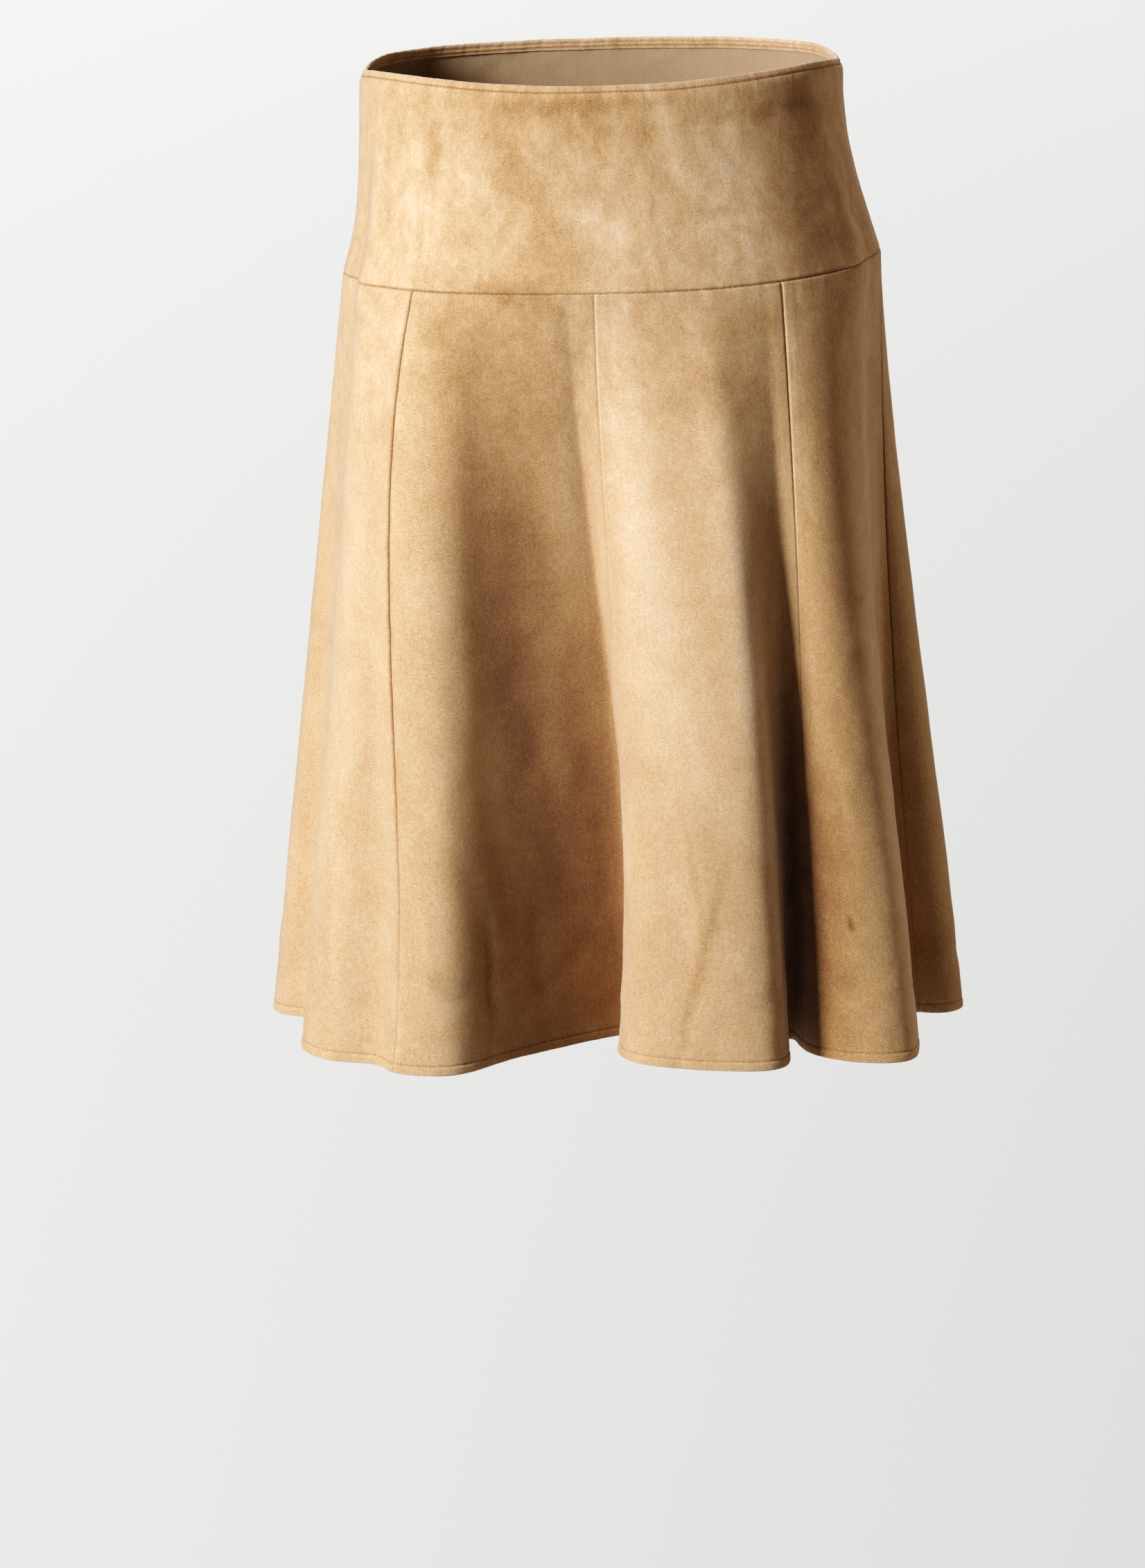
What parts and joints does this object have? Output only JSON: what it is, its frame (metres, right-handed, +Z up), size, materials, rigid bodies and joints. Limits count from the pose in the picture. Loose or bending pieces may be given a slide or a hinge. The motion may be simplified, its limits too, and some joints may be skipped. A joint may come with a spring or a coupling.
{
  "type": "a-line skirt",
  "caption": "Knee-length a-line skirt of faux suede: a fitted hip yoke over flared gores, worn and hollow, open at waist and hem.",
  "frame": {"origin": "centre of the waist opening, level with the waist edge at the centre front", "axes": "+Z up towards the wearer's head, -Y the way the wearer faces, +X towards the wearer's left"},
  "size_m": [0.4751, 0.3382, 0.6596],
  "materials": {
    "suede": "matt brushed faux suede, camel brown, with a short nap that marks lighter and darker where it is stroked"
  },
  "bodies": {
    "root": {"yoke_front": "suede", "yoke_back": "suede", "gore_right_side_front": "suede", "gore_right_front": "suede", "gore_left_front": "suede", "gore_left_side_front": "suede", "gore_left_side_back": "suede", "gore_left_back": "suede", "gore_right_back": "suede", "gore_right_side_back": "suede"}
  },
  "joints": []
}
